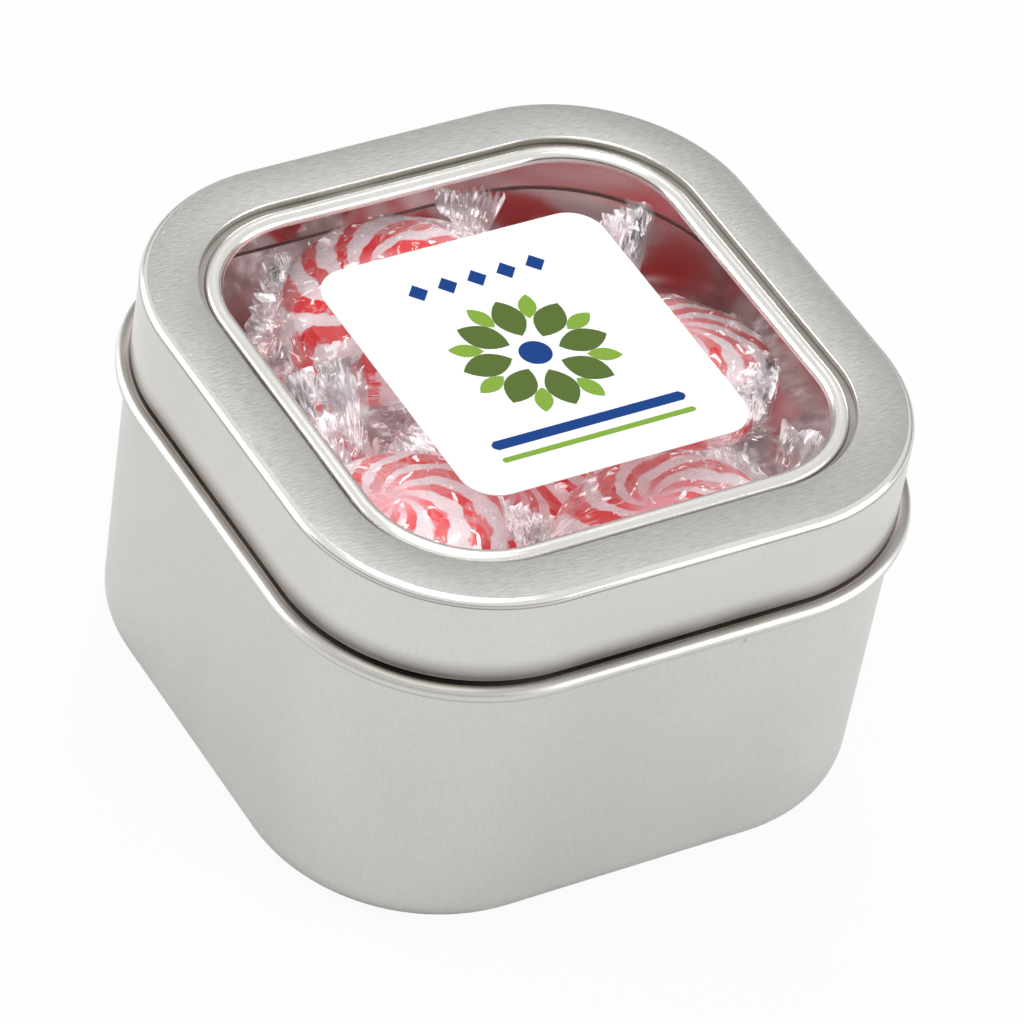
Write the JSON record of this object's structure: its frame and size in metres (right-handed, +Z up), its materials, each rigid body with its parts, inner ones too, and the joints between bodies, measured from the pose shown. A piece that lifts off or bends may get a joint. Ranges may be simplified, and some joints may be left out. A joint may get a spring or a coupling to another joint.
{
  "type": "window tin",
  "caption": "Square rounded tinplate box with a slip lid, a clear lid window with a label, and twist-wrapped mints inside.",
  "frame": {"origin": "middle of the tin's flat base", "axes": "+Z up, +X along the label's short side, +Y along its long side, towards the top of the label"},
  "size_m": [0.0812, 0.0812, 0.052],
  "materials": {
    "tinplate_body": "satin tinplate",
    "tinplate_lid": "satin tinplate with a fine brushed grain",
    "tinplate_ring": "plain tinplate",
    "clear_pane": "clear plastic sheet",
    "label_paper": null,
    "wrapper_film": "crumpled clear film",
    "mint_candy": "glossy hard candy, white with red stripes"
  },
  "bodies": {
    "box": {"tin_body": "tinplate_body", "wrapper_01": "wrapper_film", "wrapper_02": "wrapper_film", "wrapper_03": "wrapper_film", "wrapper_04": "wrapper_film", "wrapper_05": "wrapper_film", "wrapper_06": "wrapper_film", "wrapper_07": "wrapper_film", "wrapper_08": "wrapper_film", "wrapper_09": "wrapper_film", "wrapper_10": "wrapper_film", "wrapper_11": "wrapper_film", "wrapper_12": "wrapper_film", "wrapper_13": "wrapper_film", "wrapper_14": "wrapper_film", "mint_01": "mint_candy", "mint_02": "mint_candy", "mint_03": "mint_candy", "mint_04": "mint_candy", "mint_05": "mint_candy", "mint_06": "mint_candy", "mint_07": "mint_candy", "mint_08": "mint_candy", "mint_09": "mint_candy", "mint_10": "mint_candy", "mint_11": "mint_candy", "mint_12": "mint_candy", "mint_13": "mint_candy", "mint_14": "mint_candy"},
    "lid": {"lid_frame": "tinplate_lid", "window_pane": "clear_pane", "window_retainer": "tinplate_ring", "window_label": "label_paper"}
  },
  "joints": [
    {"name": "lid_lift", "type": "slide", "parent": "box", "child": "lid", "axis": [0, 0, 1], "range_m": [0, 0.06]}
  ]
}
